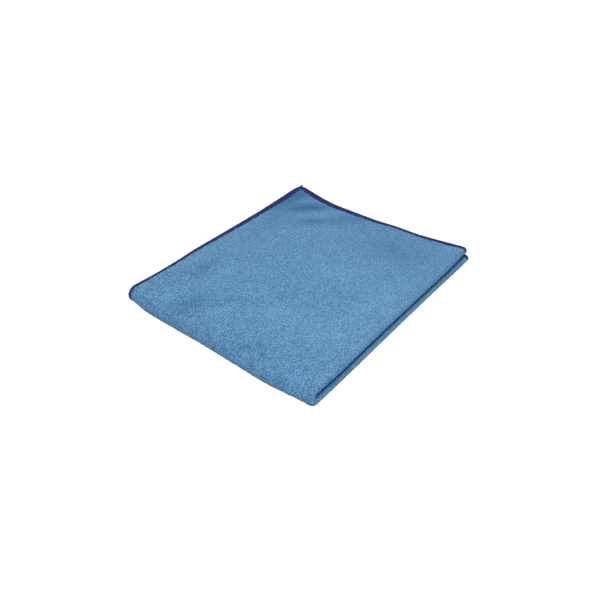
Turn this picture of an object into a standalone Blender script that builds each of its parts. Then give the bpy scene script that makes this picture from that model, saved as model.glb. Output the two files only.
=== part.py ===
"""A terry microfibre cloth with an overlocked edge, folded in half twice and lying flat.

Metres, +Z up. The origin is on the surface that the cloth lies on, under the middle of its
outline. +X runs from the open left edge to the side with the first fold, +Y from the second
fold at the front to the open edges at the back.

The cloth is drawn flat, by p along its length, q along its width and h above its middle, and
the function folded() carries each such place to where it lies in the stack. The edging is drawn
on the same flat cloth and goes through the same function, so it follows every layer and fold.
"""
import math

import bmesh
import bpy
import numpy as np

# The flat cloth
CLOTH_LENGTH = 0.400
CLOTH_WIDTH = 0.335
THICKNESS = 0.0024
CORNER_RADIUS = 0.005
CORNER_SQUARENESS = 0.35

# The overlocked edging, and the cloth's rim that it squeezes
RIM_THICKNESS = 0.0010
RIM_WIDTH = 0.0042
EDGING_GAP = 0.0003
EDGING_WALL = 0.00035
EDGING_WIDTH = 0.0040
EDGING_NOSE = 0.0007
EDGING_SHOULDER = 0.0004

# The stack of four layers, and its two folds
LAYER_PITCH = 0.0032
STACK_RISE = 3 * LAYER_PITCH
FOLD_RADIUS = LAYER_PITCH / 2
TURN_RADIUS = LAYER_PITCH
TURN_REACH = 1.4

# How much the folds puff up, and how far from the folded edge
FRONT_LOFT = 0.19
FRONT_LOFT_REACH = 0.020
SIDE_LOFT = 0.07
SIDE_LOFT_REACH = 0.010

# The middle of the whole outline, in the stack before it is centred
MIDDLE_X = 0.00009
MIDDLE_Y = 0.00283

# Where the outline is drawn out of square: the middle of each place, how far it reaches each
# way, and how far it moves the top layer and the bottom layer
PUSHES = (
    # name,            x,      y,     reach_x, reach_y, top_dx,  top_dy,  low_dx,  low_dy
    ("back_middle",    0.000,  0.100, 0.050,   0.045,   0.0000, -0.0042,  0.0000, -0.0042),
    ("back_near_end", -0.045,  0.100, 0.025,   0.030,   0.0000, -0.0027,  0.0000, -0.0027),
    ("back_corner",   -0.078,  0.100, 0.020,   0.030,   0.0000,  0.0006,  0.0000,  0.0006),
    ("back_tip",      -0.084,  0.101, 0.008,   0.008,   0.0012,  0.0000,  0.0012,  0.0000),
    ("left_back",     -0.083,  0.064, 0.035,   0.020,  -0.0005,  0.0000, -0.0005,  0.0000),
    ("left_middle",   -0.083,  0.000, 0.035,   0.050,  -0.0009,  0.0000, -0.0009,  0.0000),
    ("left_bulge",    -0.083, -0.028, 0.035,   0.016,  -0.0006,  0.0000, -0.0006,  0.0000),
    ("front_middle",   0.000, -0.100, 0.045,   0.030,   0.0000,  0.0012,  0.0000,  0.0012),
    ("front_left",    -0.083, -0.100, 0.014,   0.014,   0.0006,  0.0026,  0.0006,  0.0026),
    ("front_right",    0.083, -0.100, 0.025,   0.020,  -0.0002,  0.0035, -0.0002,  0.0035),
    ("back_right",     0.083,  0.100, 0.040,   0.045,   0.0000,  0.0000,  0.0010,  0.0060),
    ("right_low",      0.083,  0.000, 0.035,   0.200,   0.0000,  0.0000,  0.0005,  0.0000),
    ("right_top",      0.083, -0.015, 0.035,   0.080,  -0.0010,  0.0000,  0.0000,  0.0000),
)

# Where the layers lift or sink: the middle of each place, how far it reaches along and across
# its own line, how far that line is turned from +X, and how far the top layer lifts. The lower
# layers follow by their share of the height, raised to the last number, so a crease with 3 is
# mostly in the top layer.
SWELLS = (
    # name,               x,       y,      along,  across, turn, lift,    follow
    ("corner_back",      -0.0838,  0.1000, 0.032,  0.032,   0,   0.0020,  1),
    ("corner_curl",      -0.0838,  0.1000, 0.012,  0.012,   0,   0.0008,  2),
    ("corner_right",      0.0832,  0.1000, 0.030,  0.022,   0,   0.0030,  1),
    ("corner_dip",       -0.0567,  0.0792, 0.013,  0.0045, 46,  -0.0006,  1),
    ("crease_near",      -0.0502,  0.0730, 0.018,  0.0055, 46,   0.0019,  3),
    ("crease_far",       -0.0308,  0.0572, 0.026,  0.0065, 46,   0.0014,  3),
    ("crease_third",     -0.0120,  0.0400, 0.020,  0.007,  40,   0.0006,  3),
    ("swell_back",        0.0442,  0.0380, 0.030,  0.022,  10,   0.0011,  1),
    ("dip_back",          0.0382,  0.0720, 0.022,  0.012,  30,  -0.0008,  1),
    ("back_edge",         0.0220,  0.0980, 0.013,  0.012,   0,   0.0010,  1),
    ("swell_right",       0.0582, -0.0080, 0.016,  0.022,  60,   0.0010,  1),
    ("valley_left",      -0.0618, -0.0370, 0.014,  0.008, 100,  -0.0007,  1),
    ("swell_left",       -0.0458, -0.0280, 0.018,  0.012,  80,   0.0010,  1),
    ("valley_long",      -0.0058, -0.0480, 0.028,  0.008,  42,  -0.0007,  1),
    ("valley_front",     -0.0338, -0.0820, 0.020,  0.012,  60,  -0.0010,  1),
    ("swell_middle",      0.0202, -0.0600, 0.022,  0.014,  35,   0.0012,  1),
    ("swell_front_left", -0.0558, -0.0780, 0.014,  0.012,  80,   0.0010,  1),
    ("dip_front",         0.0202, -0.0860, 0.014,  0.009,  20,  -0.0006,  1),
    ("dent_front",        0.0462, -0.0960, 0.008,  0.008,   0,  -0.0011,  1),
    ("dip_corner",        0.0722, -0.0970, 0.010,  0.008,   0,  -0.0010,  1),
    ("swell_corner",      0.0682, -0.0780, 0.013,  0.010,   0,   0.0010,  1),
    ("ripple_middle",    -0.0138,  0.0000, 0.014,  0.009,  85,  -0.0006,  1),
    ("ripple_left",      -0.0538,  0.0020, 0.010,  0.008,  30,  -0.0006,  1),
)

# How far apart the cloth is sampled: by its creased corner, over the rest of the top layer, and
# under it
CREASED_REACH = 0.065
CREASED_SPACING = 0.006
TOP_SPACING = 0.0081
HIDDEN_SPACING = 0.0135
BEND_STEPS = 8
CORNER_STEPS = 4

# Lengths of cloth that the folds leave and take
TURN_LENGTH = math.pi * TURN_RADIUS * (1 + TURN_REACH) / 2
HALF_LENGTH = (CLOTH_LENGTH - TURN_LENGTH) / 2
FOLD_LENGTH = math.pi * FOLD_RADIUS
HALF_WIDTH = (CLOTH_WIDTH - FOLD_LENGTH) / 2
STACK_LEFT = -(HALF_WIDTH + FOLD_RADIUS) / 2
STACK_RIGHT = -STACK_LEFT
STACK_BACK = (HALF_LENGTH + (TURN_RADIUS + FOLD_RADIUS) * TURN_REACH) / 2
STACK_FRONT = -STACK_BACK

# The finishes, in linear colour
TERRY_COLOUR = (0.125, 0.288, 0.485)
TERRY_ROUGHNESS = 0.95
THREAD_COLOUR = (0.022, 0.026, 0.115)
THREAD_ROUGHNESS = 0.8

NORMAL_STEP = 0.00002
MERGE_DISTANCE = 0.000001
TOUCHING = 0.00001
COLLECTION = "folded_microfibre_cloth"


def stacked(p, q):
    """Fold the flat middle surface twice: x, y and the rise above the lowest layer's middle."""
    fold_angle = np.clip((q - HALF_WIDTH) / FOLD_LENGTH, 0, 1) * np.pi
    past_fold = np.maximum(q - HALF_WIDTH - FOLD_LENGTH, 0)
    x = STACK_LEFT + np.minimum(q, HALF_WIDTH) - past_fold + FOLD_RADIUS * np.sin(fold_angle)
    turn_angle = np.clip((p - HALF_LENGTH) / TURN_LENGTH, 0, 1) * np.pi
    past_turn = np.maximum(p - HALF_LENGTH - TURN_LENGTH, 0)
    turn_radius = TURN_RADIUS + FOLD_RADIUS * np.cos(fold_angle)
    y = STACK_BACK - np.minimum(p, HALF_LENGTH) + past_turn
    y = y - turn_radius * TURN_REACH * np.sin(turn_angle)
    rise = STACK_RISE / 2 + turn_radius * np.cos(turn_angle)
    return x, y, rise


def settled(x, y, rise):
    """Push the square stack out of true, puff up its folds and let its layers lift and sink."""
    share = rise / STACK_RISE
    shift_x = np.zeros_like(x)
    shift_y = np.zeros_like(y)
    for name, at_x, at_y, reach_x, reach_y, top_dx, top_dy, low_dx, low_dy in PUSHES:
        near = np.exp(-((x - at_x) / reach_x) ** 2 - ((y - at_y) / reach_y) ** 2)
        shift_x += near * (low_dx + (top_dx - low_dx) * share)
        shift_y += near * (low_dy + (top_dy - low_dy) * share)
    lift = np.zeros_like(x)
    for name, at_x, at_y, along, across, turn, height, follow in SWELLS:
        cos_turn = math.cos(math.radians(turn))
        sin_turn = math.sin(math.radians(turn))
        run = (x - at_x) * cos_turn + (y - at_y) * sin_turn
        side = (y - at_y) * cos_turn - (x - at_x) * sin_turn
        lift += height * share ** follow * np.exp(-(run / along) ** 2 - (side / across) ** 2)
    loft = 1 + FRONT_LOFT * np.exp(-((y - STACK_FRONT) / FRONT_LOFT_REACH) ** 2)
    loft += SIDE_LOFT * np.exp(-((x - STACK_RIGHT) / SIDE_LOFT_REACH) ** 2)
    z = THICKNESS / 2 + rise * loft + lift
    return np.stack([x + shift_x - MIDDLE_X, y + shift_y - MIDDLE_Y, z], -1)


def middle(p, q):
    """The place of a point of the cloth's middle surface in the folded stack."""
    return settled(*stacked(p, q))


def folded(p, q, h):
    """The place of a point that lies h off the cloth's middle, on its outer side where above 0."""
    along = middle(p + NORMAL_STEP, q) - middle(p - NORMAL_STEP, q)
    across = middle(p, q + NORMAL_STEP) - middle(p, q - NORMAL_STEP)
    normal = np.cross(across, -along)
    normal /= np.linalg.norm(normal, axis=-1, keepdims=True)
    return middle(p, q) + np.asarray(h)[..., None] * normal


def run_of(start, end, spacing):
    """Places from start up to end, without end, evenly and about spacing apart."""
    count = round((end - start) / spacing)
    return [start + (end - start) * i / count for i in range(count)]


def places_along(size, half, bend_length):
    """Where the cloth is sampled along one side: its rims, the top half, a bend, the under half."""
    places = run_of(CORNER_RADIUS, CREASED_REACH, CREASED_SPACING)
    places += run_of(CREASED_REACH, half, TOP_SPACING)
    places += run_of(half, half + bend_length, bend_length / BEND_STEPS)
    places += run_of(half + bend_length, size - CORNER_RADIUS, HIDDEN_SPACING)
    places += [size - CORNER_RADIUS]
    return places


LENGTH_PLACES = places_along(CLOTH_LENGTH, HALF_LENGTH, TURN_LENGTH)
WIDTH_PLACES = places_along(CLOTH_WIDTH, HALF_WIDTH, FOLD_LENGTH)


def with_rims(places, size):
    """The same places, with the two that shape the squeezed rim added at each end."""
    return [0, RIM_WIDTH] + places + [size - RIM_WIDTH, size]


def rounded(p, q):
    """Round the flat cloth's corners, and say how deep inside its edge each point lies."""
    core_p = np.clip(p, CORNER_RADIUS, CLOTH_LENGTH - CORNER_RADIUS)
    core_q = np.clip(q, CORNER_RADIUS, CLOTH_WIDTH - CORNER_RADIUS)
    reach = np.maximum(abs(p - core_p), abs(q - core_q))
    length = np.hypot(p - core_p, q - core_q)
    scale = np.divide(reach, length, out=np.ones_like(reach), where=length > 0)
    scale += (1 - scale) * CORNER_SQUARENESS
    return core_p + (p - core_p) * scale, core_q + (q - core_q) * scale, CORNER_RADIUS - reach


def grid_mesh(name, points, fullness):
    """A grid with a vertex at each of points, and the share of the thickness it has there."""
    rows, columns = fullness.shape
    grid = bmesh.new()
    bmesh.ops.create_grid(grid, x_segments=columns - 1, y_segments=rows - 1, size=0.5)
    weights = grid.verts.layers.deform.verify()
    for vert in grid.verts:
        row = round((vert.co.y + 0.5) * (rows - 1))
        column = round((vert.co.x + 0.5) * (columns - 1))
        vert.co = points[row, column]
        vert[weights][0] = fullness[row, column]
    bmesh.ops.remove_doubles(grid, verts=grid.verts, dist=MERGE_DISTANCE)
    bmesh.ops.recalc_face_normals(grid, faces=grid.faces)
    mesh = bpy.data.meshes.new(name)
    grid.to_mesh(mesh)
    grid.free()
    mesh.shade_smooth()
    return mesh


def thick_object(name, mesh, thickness, material, collection):
    """An object that gives an open surface its thickness, half to each side."""
    mesh.materials.append(material)
    item = bpy.data.objects.new(name, mesh)
    collection.objects.link(item)
    wall = item.modifiers.new("thickness", "SOLIDIFY")
    wall.thickness = thickness
    wall.offset = 0
    wall.vertex_group = item.vertex_groups.new(name="fullness").name
    wall.use_even_offset = True
    wall.use_quality_normals = True
    return item


def make_material(name, colour, roughness):
    """A plain finish in one linear colour."""
    material = bpy.data.materials.new(name)
    material.use_nodes = True
    shader = material.node_tree.nodes["Principled BSDF"]
    shader.inputs["Base Color"].default_value = (*colour, 1)
    shader.inputs["Roughness"].default_value = roughness
    shader.inputs["Metallic"].default_value = 0
    return material


def make_cloth(collection):
    """The cloth itself: one sheet, full in the middle and thin under the edging."""
    p, q = np.meshgrid(with_rims(LENGTH_PLACES, CLOTH_LENGTH),
                       with_rims(WIDTH_PLACES, CLOTH_WIDTH), indexing="ij")
    p, q, depth = rounded(p, q)
    fullness = np.interp(depth, [RIM_WIDTH, CORNER_RADIUS], [RIM_THICKNESS / THICKNESS, 1])
    blue_terry = make_material("blue_terry", TERRY_COLOUR, TERRY_ROUGHNESS)
    mesh = grid_mesh("cloth", middle(p, q), fullness)
    return thick_object("cloth", mesh, THICKNESS, blue_terry, collection)


def press_flat(item):
    """Keep the object's shape as it stands, made quite flat where it touches the surface."""
    shape = item.evaluated_get(bpy.context.evaluated_depsgraph_get())
    mesh = bpy.data.meshes.new_from_object(shape)
    for vert in mesh.vertices:
        if vert.co.z < TOUCHING:
            vert.co.z = 0
    item.modifiers.clear()
    item.data = mesh


def edge_stations():
    """Walk once round the cloth's edge: the core point behind each station, and the way out."""
    ends = [(CORNER_RADIUS, CORNER_RADIUS),
            (CORNER_RADIUS, CLOTH_WIDTH - CORNER_RADIUS),
            (CLOTH_LENGTH - CORNER_RADIUS, CLOTH_WIDTH - CORNER_RADIUS),
            (CLOTH_LENGTH - CORNER_RADIUS, CORNER_RADIUS)]
    sides = [WIDTH_PLACES, LENGTH_PLACES, WIDTH_PLACES[::-1], LENGTH_PLACES[::-1]]
    stations = []
    for side, places in enumerate(sides):
        out_angle = math.pi - side * math.pi / 2
        for place in places:
            core = (ends[side][0], place) if side % 2 == 0 else (place, ends[side][1])
            stations.append((*core, out_angle))
        for step in range(1, CORNER_STEPS):
            turn = step / CORNER_STEPS * math.pi / 2
            stations.append((*ends[(side + 1) % 4], out_angle - turn))
    stations.append(stations[0])
    return np.array(stations).T


def make_edging(collection):
    """The overlocked edging: a thin channel that wraps the cloth's rim all the way round."""
    leg = RIM_THICKNESS / 2 + EDGING_GAP + EDGING_WALL / 2
    section = np.array([
        # depth,            height
        (EDGING_WIDTH,      leg),
        (-EDGING_SHOULDER,  leg),
        (-EDGING_NOSE,      0),
        (-EDGING_SHOULDER, -leg),
        (EDGING_WIDTH,     -leg),
    ])
    core_p, core_q, out_angle = (values[:, None] for values in edge_stations())
    square = 1 / np.maximum(abs(np.cos(out_angle)), abs(np.sin(out_angle)))
    reach = (CORNER_RADIUS - section[None, :, 0]) * (1 + (square - 1) * CORNER_SQUARENESS)
    p = core_p + reach * np.cos(out_angle)
    q = core_q + reach * np.sin(out_angle)
    height = np.broadcast_to(section[:, 1], p.shape)
    navy_thread = make_material("navy_thread", THREAD_COLOUR, THREAD_ROUGHNESS)
    mesh = grid_mesh("edging", folded(p, q, height), np.ones(p.shape))
    return thick_object("edging", mesh, EDGING_WALL, navy_thread, collection)


def main():
    for item in list(bpy.data.objects):
        bpy.data.objects.remove(item, do_unlink=True)
    collection = bpy.data.collections.new(COLLECTION)
    bpy.context.scene.collection.children.link(collection)
    press_flat(make_cloth(collection))
    make_edging(collection)


main()
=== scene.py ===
"""The looks of a folded terry microfibre cloth with an overlocked edge.

The cloth is drawn flat, by p along its length, q along its width and h above its middle, and
folded() carries each such place to where it lies in the stack, as in the part's own source.
The ground of the cloth, its pile and the overlock stitches are all drawn on that flat cloth,
so each of them follows every layer, fold and crease.
"""
import math

import bmesh
import bpy
import numpy as np
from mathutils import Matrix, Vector


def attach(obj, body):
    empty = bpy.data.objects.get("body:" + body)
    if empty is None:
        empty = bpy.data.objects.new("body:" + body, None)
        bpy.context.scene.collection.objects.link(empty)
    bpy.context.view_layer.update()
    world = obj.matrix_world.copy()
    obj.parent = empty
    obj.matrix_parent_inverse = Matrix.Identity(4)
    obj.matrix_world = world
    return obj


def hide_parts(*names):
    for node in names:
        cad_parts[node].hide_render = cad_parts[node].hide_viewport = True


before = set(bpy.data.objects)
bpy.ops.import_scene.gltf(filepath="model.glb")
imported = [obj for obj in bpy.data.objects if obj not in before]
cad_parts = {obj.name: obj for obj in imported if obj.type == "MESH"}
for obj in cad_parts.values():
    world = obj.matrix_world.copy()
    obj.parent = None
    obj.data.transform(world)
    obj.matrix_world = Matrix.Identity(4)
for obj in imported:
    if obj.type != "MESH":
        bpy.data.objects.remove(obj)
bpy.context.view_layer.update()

# The flat cloth, as it was cut
CLOTH_LENGTH = 0.400
CLOTH_WIDTH = 0.335
THICKNESS = 0.0024
CORNER_RADIUS = 0.005
CORNER_SQUARENESS = 0.35
RIM_THICKNESS = 0.0010
RIM_WIDTH = 0.0042

# The stack of four layers, and its two folds
LAYER_PITCH = 0.0032
STACK_RISE = 3 * LAYER_PITCH
FOLD_RADIUS = LAYER_PITCH / 2
TURN_RADIUS = LAYER_PITCH
TURN_REACH = 1.4

# How much the folds puff up, and how far from the folded edge
FRONT_LOFT = 0.19
FRONT_LOFT_REACH = 0.020
SIDE_LOFT = 0.07
SIDE_LOFT_REACH = 0.010

# The middle of the whole outline, in the stack before it is centred
MIDDLE_X = 0.00009
MIDDLE_Y = 0.00283

# Where the outline is drawn out of square, for the top layer and for the bottom layer
PUSHES = (
    # name,            x,      y,     reach_x, reach_y, top_dx,  top_dy,  low_dx,  low_dy
    ("back_middle",    0.000,  0.100, 0.050,   0.045,   0.0000, -0.0042,  0.0000, -0.0042),
    ("back_near_end", -0.045,  0.100, 0.025,   0.030,   0.0000, -0.0027,  0.0000, -0.0027),
    ("back_corner",   -0.078,  0.100, 0.020,   0.030,   0.0000,  0.0006,  0.0000,  0.0006),
    ("back_tip",      -0.084,  0.101, 0.008,   0.008,   0.0012,  0.0000,  0.0012,  0.0000),
    ("left_back",     -0.083,  0.064, 0.035,   0.020,  -0.0005,  0.0000, -0.0005,  0.0000),
    ("left_middle",   -0.083,  0.000, 0.035,   0.050,  -0.0009,  0.0000, -0.0009,  0.0000),
    ("left_bulge",    -0.083, -0.028, 0.035,   0.016,  -0.0006,  0.0000, -0.0006,  0.0000),
    ("front_middle",   0.000, -0.100, 0.045,   0.030,   0.0000,  0.0012,  0.0000,  0.0012),
    ("front_left",    -0.083, -0.100, 0.014,   0.014,   0.0006,  0.0026,  0.0006,  0.0026),
    ("front_right",    0.083, -0.100, 0.025,   0.020,  -0.0002,  0.0035, -0.0002,  0.0035),
    ("back_right",     0.083,  0.100, 0.040,   0.045,   0.0000,  0.0000,  0.0010,  0.0060),
    ("right_low",      0.083,  0.000, 0.035,   0.200,   0.0000,  0.0000,  0.0005,  0.0000),
    ("right_top",      0.083, -0.015, 0.035,   0.080,  -0.0010,  0.0000,  0.0000,  0.0000),
)

# Where the layers lift or sink, each along a line turned from +X. The lower layers follow by
# their share of the height, raised to the last number.
SWELLS = (
    # name,               x,       y,      along,  across, turn, lift,    follow
    ("corner_back",      -0.0838,  0.1000, 0.032,  0.032,   0,   0.0020,  1),
    ("corner_curl",      -0.0838,  0.1000, 0.012,  0.012,   0,   0.0008,  2),
    ("corner_right",      0.0832,  0.1000, 0.030,  0.022,   0,   0.0030,  1),
    ("corner_dip",       -0.0567,  0.0792, 0.013,  0.0045, 46,  -0.0006,  1),
    ("crease_near",      -0.0502,  0.0730, 0.018,  0.0055, 46,   0.0019,  3),
    ("crease_far",       -0.0308,  0.0572, 0.026,  0.0065, 46,   0.0014,  3),
    ("crease_third",     -0.0120,  0.0400, 0.020,  0.007,  40,   0.0006,  3),
    ("swell_back",        0.0442,  0.0380, 0.030,  0.022,  10,   0.0011,  1),
    ("dip_back",          0.0382,  0.0720, 0.022,  0.012,  30,  -0.0008,  1),
    ("back_edge",         0.0220,  0.0980, 0.013,  0.012,   0,   0.0010,  1),
    ("swell_right",       0.0582, -0.0080, 0.016,  0.022,  60,   0.0010,  1),
    ("valley_left",      -0.0618, -0.0370, 0.014,  0.008, 100,  -0.0007,  1),
    ("swell_left",       -0.0458, -0.0280, 0.018,  0.012,  80,   0.0010,  1),
    ("valley_long",      -0.0058, -0.0480, 0.028,  0.008,  42,  -0.0007,  1),
    ("valley_front",     -0.0338, -0.0820, 0.020,  0.012,  60,  -0.0010,  1),
    ("swell_middle",      0.0202, -0.0600, 0.022,  0.014,  35,   0.0012,  1),
    ("swell_front_left", -0.0558, -0.0780, 0.014,  0.012,  80,   0.0010,  1),
    ("dip_front",         0.0202, -0.0860, 0.014,  0.009,  20,  -0.0006,  1),
    ("dent_front",        0.0462, -0.0960, 0.008,  0.008,   0,  -0.0011,  1),
    ("dip_corner",        0.0722, -0.0970, 0.010,  0.008,   0,  -0.0010,  1),
    ("swell_corner",      0.0682, -0.0780, 0.013,  0.010,   0,   0.0010,  1),
    ("ripple_middle",    -0.0138,  0.0000, 0.014,  0.009,  85,  -0.0006,  1),
    ("ripple_left",      -0.0538,  0.0020, 0.010,  0.008,  30,  -0.0006,  1),
)

# Patches where the pile on top is painted paler, above 0, and deeper, below 0, each along a line
# turned from +X: mostly painted light on the swells and painted shade in the dips and creases of
# SWELLS and beside the edging, and some patches where the pile itself was brushed flatter and looks
# deeper or stands up and looks paler
NAP_AND_SHADE = (
    # name,            x,       y,      along,  across, turn, tone
    ("front_half",     0.0000, -0.1000, 0.2000, 0.0700,   0,   0.15),
    ("back_half",      0.0200,  0.1000, 0.1200, 0.0600,   0,  -0.12),
    # stripe_corner, stripe_far, stripe_end: painted shade of creases; corner_rim: painted shade by
    # the edging
    ("stripe_corner", -0.0530,  0.0770, 0.0170, 0.0070,  48,  -0.60),
    ("stripe_far",    -0.0369,  0.0607, 0.0140, 0.0060,  48,  -0.28),
    ("stripe_end",    -0.0129,  0.0847, 0.0180, 0.0070,  50,  -0.27),
    ("corner_rim",    -0.0760,  0.0800, 0.0240, 0.0080,  84,  -0.50),
    ("corner_deep",   -0.0680,  0.0895, 0.0090, 0.0070,   0,  -0.15),
    ("corner_pale",   -0.0465,  0.0895, 0.0110, 0.0045,  45,   0.14),
    ("corner_near",   -0.0550,  0.0660, 0.0080, 0.0050,  10,  -0.11),
    ("edge_dark",     -0.0295,  0.0910, 0.0070, 0.0050,  20,  -0.12),
    ("edge_pale",     -0.0150,  0.0870, 0.0100, 0.0060,  20,   0.07),
    ("streak_pale",   -0.0335,  0.0715, 0.0080, 0.0060,  40,   0.07),
    ("left_back",     -0.0649,  0.0407, 0.0100, 0.0280,   0,  -0.12),
    ("back_right",     0.0451,  0.0707, 0.0350, 0.0200,   0,  -0.09),
    ("back_spot",      0.0321,  0.0707, 0.0080, 0.0100,   0,  -0.06),
    ("middle",         0.0221,  0.0107, 0.0220, 0.0120,   0,   0.12),
    ("right",          0.0661,  0.0007, 0.0100, 0.0240,   0,   0.16),
    ("left_dark",     -0.0599, -0.0433, 0.0080, 0.0140,   0,  -0.18),
    ("left_pale",     -0.0439, -0.0353, 0.0070, 0.0080,   0,   0.14),
    ("left_edge",     -0.0739, -0.0293, 0.0040, 0.0140,   0,   0.12),
    ("left_low",      -0.0719, -0.0693, 0.0060, 0.0100,   0,  -0.10),
    ("left_tip",      -0.0529, -0.0843, 0.0060, 0.0080,   0,   0.15),
    ("valley_spot",    0.0081, -0.0323, 0.0050, 0.0050,   0,  -0.14),
    ("valley_upper",  -0.0119, -0.0553, 0.0140, 0.0050,  35,  -0.18),
    ("valley_lower",  -0.0359, -0.0793, 0.0160, 0.0090,  75,  -0.28),
    ("front_streak",  -0.0119, -0.0693, 0.0040, 0.0160,   0,   0.12),
    ("front_middle",   0.0201, -0.0513, 0.0200, 0.0100,  10,   0.20),
    ("front_right",    0.0601, -0.0443, 0.0140, 0.0160,   0,   0.14),
    ("front_dark",     0.0281, -0.0853, 0.0140, 0.0080,   0,  -0.14),
    ("front_rim",      0.0001, -0.0953, 0.0900, 0.0060,   0,  -0.12),
)

# Lengths of cloth that the folds leave and take
TURN_LENGTH = math.pi * TURN_RADIUS * (1 + TURN_REACH) / 2
HALF_LENGTH = (CLOTH_LENGTH - TURN_LENGTH) / 2
FOLD_LENGTH = math.pi * FOLD_RADIUS
HALF_WIDTH = (CLOTH_WIDTH - FOLD_LENGTH) / 2
STACK_LEFT = -(HALF_WIDTH + FOLD_RADIUS) / 2
STACK_RIGHT = -STACK_LEFT
STACK_BACK = (HALF_LENGTH + (TURN_RADIUS + FOLD_RADIUS) * TURN_REACH) / 2
STACK_FRONT = -STACK_BACK
NORMAL_STEP = 0.00002

# The ground that the pile stands on: how far it lies inside the cloth, over which width it swells
# out beside the edging, and its fine relief with the shortest wave, the longest and their number
PILE_DEPTH = 0.00045
SWELL_WIDTH = 0.0026
GROUND_RELIEF = 0.00010
RELIEF_WAVES = (0.003, 0.007, 24)

# How finely the ground is drawn: where it shows, where it doesn't, in a bend, and past a bend as
# far as the groove is seen
SEEN_SPACING = 0.0020
HIDDEN_SPACING = 0.006
BEND_STEPS = 14
GROOVE_REACH = 0.0036
GROOVE_STEPS = 5

# Where the pile ends: how far past the side folds, into the groove, over which length it thins
# out, at which share of the front roll, and past it from which share of the side fold it goes on
GROOVE_DEPTH = 0.0012
PILE_FADE = 0.0012
ROLL_SHARE = 0.80
STRIP_SHARE = 0.22

# The loops of the pile, and the least and the most of what varies from loop to loop
LOOP_PITCH = 0.00090
LOOP_SPAN = 0.00092
LOOP_HEIGHT = 0.00078
LOOP_SINK = 0.00015
YARN_RADIUS = 0.00023
LOOP_SEGMENTS = 8
YARN_SIDES = 3
LOOP_WANDER = 0.4
LOOP_LEANS = (math.radians(15), math.radians(60))
LOOP_SIZES = (0.8, 1.2)
LOOP_WIDTHS = (0.8, 1.25)
LOOP_HEIGHTS = (0.85, 1.15)

# The share of the pile below which no loop stands and above which each does, and the number of
# pieces that the pile is made in
THINNING = (0.2, 0.8)
PILE_PARTS = 5

# How much longer the outer side of the cloth is in the turn and in the fold than its middle
TURN_STRETCH = 1.9
FOLD_STRETCH = 1.75

# The pile is pressed where the cloth faces down: its height there, and the outward z at which it
# starts to rise and at which it is at its full height
PRESSED_HEIGHT = 0.60
PRESSED_RANGE = (-0.3, 0.6)

# The lines where the pile parts into tufts, where the loops stand lower and are painted darker as
# the
# shade in the gaps: the waves they follow and those that fade them out, each by its shortest, its
# longest and their number
TUFT_WAVES = (0.0022, 0.0045, 40)
PATCH_WAVES = (0.006, 0.015, 12)
PATCH_RANGE = (-1.5, 0.6)
PARTING_WIDTH = 0.30
PARTING_HEIGHT = 0.55
PARTING_SHADE = -0.55

# The grain of the pile, from crisp at the front to soft at the back: the y of both and how crisp
# the back is, how much the loops differ, the share of a loop's height where its painted root shade
# has given way to its full colour, how deep the painted shade of the ground between the loops
# looks, and how much a loop is shaded as the cloth under it
CRISP_RANGE = (-0.1, 0.1)
BACK_CRISPNESS = 0.0
YARN_CONTRAST = 0.45
TIP_SHARE = 0.8
GROUND_SHADE_TONE = -0.10
BACK_GROUND_SHADE_TONE = 0.30
FRONT_SCATTER = 0.70
BACK_SCATTER = 1.0

# How the cloth is painted darker, as shade, where it turns to the front, to the side and down, away
# from the light, and how much less where it still faces up. Each range holds the parts of the
# outward direction between which a change comes.
TURNED_RANGE = (0.15, 0.75)
ROLL_EASE = 0.35
EASED_RANGE = (0.0, 0.6)
SIDE_SHADE = 0.28
UNDER_SHADE = -0.5
UNDER_RANGE = (-0.75, -0.10)

# Where the painted shade of the groove, a deep blue, starts and where it is full, as shares of the
# side fold, for the upper and for the lower pair of layers
UPPER_GROOVE = (0.35, 0.80)
LOWER_GROOVE = (0.66, 0.95)

# The overlock stitches round the edge. THREAD_RISE is the share of a thread's radius that its
# middle lies over the band. The last three say how far a thread wanders: along the edge as a share
# of a stitch, into it and up and down.
STITCH = 0.0017
NEEDLE_DEPTH = 0.0046
NEEDLE_GAP = 0.0003
THREAD_RADIUS = 0.00024
CHAIN_RADIUS = 0.00026
NEEDLE_RADIUS = 0.00018
END_RADIUS = 0.00070
THREAD_RISE = 0.6
RUN_WANDER = 0.06
DEPTH_WANDER = 0.00015
HEIGHT_WANDER = 0.00004

# The band of thread under the stitches: its height, the inside of its nose past the edge, the
# pitch of its threads, and how finely it is drawn
BAND_HEIGHT = 0.00070
BAND_NOSE = 0.00008
BAND_THREADS = 0.00052
BAND_SPACING = 0.0030
BAND_BEND_STEPS = 20
CORNER_STEPS = 6

# How far the pile and the threads stay off the floor
FLOOR_CLEARANCE = 0.00002

# How wide the edging lies along a long and along a short side of the cloth
LONG_SIDE_WIDTHS = (
    # from the corner, share of the full width
    (0.006, 1.00),
    (0.025, 1.20),
    (0.055, 0.90),
    (0.085, 0.86),
    (0.115, 0.71),
    (0.140, 0.48),
    (0.168, 0.43),
    (0.185, 0.45),
    (0.200, 0.58),
)
SHORT_SIDE_WIDTHS = (
    # from the corner, share of the full width
    (0.006, 1.00),
    (0.020, 1.28),
    (0.040, 1.17),
    (0.060, 1.07),
    (0.080, 0.86),
    (0.100, 0.69),
    (0.120, 0.59),
    (0.142, 0.78),
    (0.158, 0.76),
    (0.168, 0.50),
)

# The camera, where the photograph was taken from
CAMERA_AZIMUTH = 38.70
CAMERA_ELEVATION = 38.41
CAMERA_DISTANCE = 0.45483
CAMERA_TARGET = (0.01139, -0.02024, 0.0)
CAMERA_LENS = 37.04
SENSOR_WIDTH = 36
CLIP_START = 0.01
CLIP_END = 20

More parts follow.
